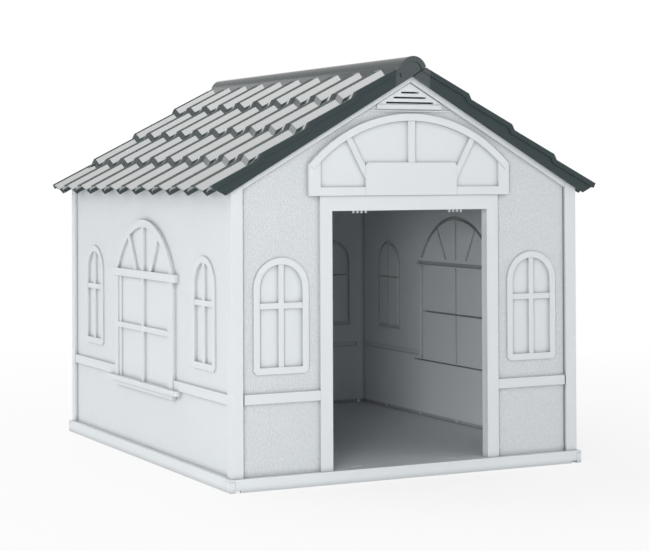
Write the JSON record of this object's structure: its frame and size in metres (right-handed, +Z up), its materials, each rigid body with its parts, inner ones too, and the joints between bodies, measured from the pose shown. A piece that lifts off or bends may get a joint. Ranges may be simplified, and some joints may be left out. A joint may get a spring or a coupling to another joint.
{
  "type": "dog house",
  "caption": "Flat-packed plastic dog house on a shallow tray: moulded walls with arched windows, an open doorway under an arched panel, and a tiled two-part roof that lifts off",
  "frame": {"origin": "middle of the underside of the base tray, on the floor", "axes": "+Z up, the doorway faces -Y, +X to the right of someone who looks at the doorway"},
  "size_m": [0.766, 0.848, 0.736],
  "materials": {
    "walls": "satin, fine vertical fleck on the front",
    "tray": "satin",
    "roof": "glossy, dark slate green"
  },
  "bodies": {
    "house": {"base_tray": "tray", "foot_front_left": "tray", "foot_front_right": "tray", "foot_back_left": "tray", "foot_back_right": "tray", "post_front_left": "walls", "post_front_right": "walls", "post_back_left": "walls", "post_back_right": "walls", "front_wall": "walls", "back_wall": "walls", "left_wall": "walls", "right_wall": "walls", "arch_panel": "walls", "sign_plate": "walls", "front_vent": "walls", "back_vent": "walls"},
    "roof": {"roof_left": "roof", "roof_right": "roof"}
  },
  "joints": [
    {"name": "roof_lift", "type": "slide", "parent": "house", "child": "roof", "axis": [0, 0, 1], "range_m": [0, 0.24]}
  ]
}
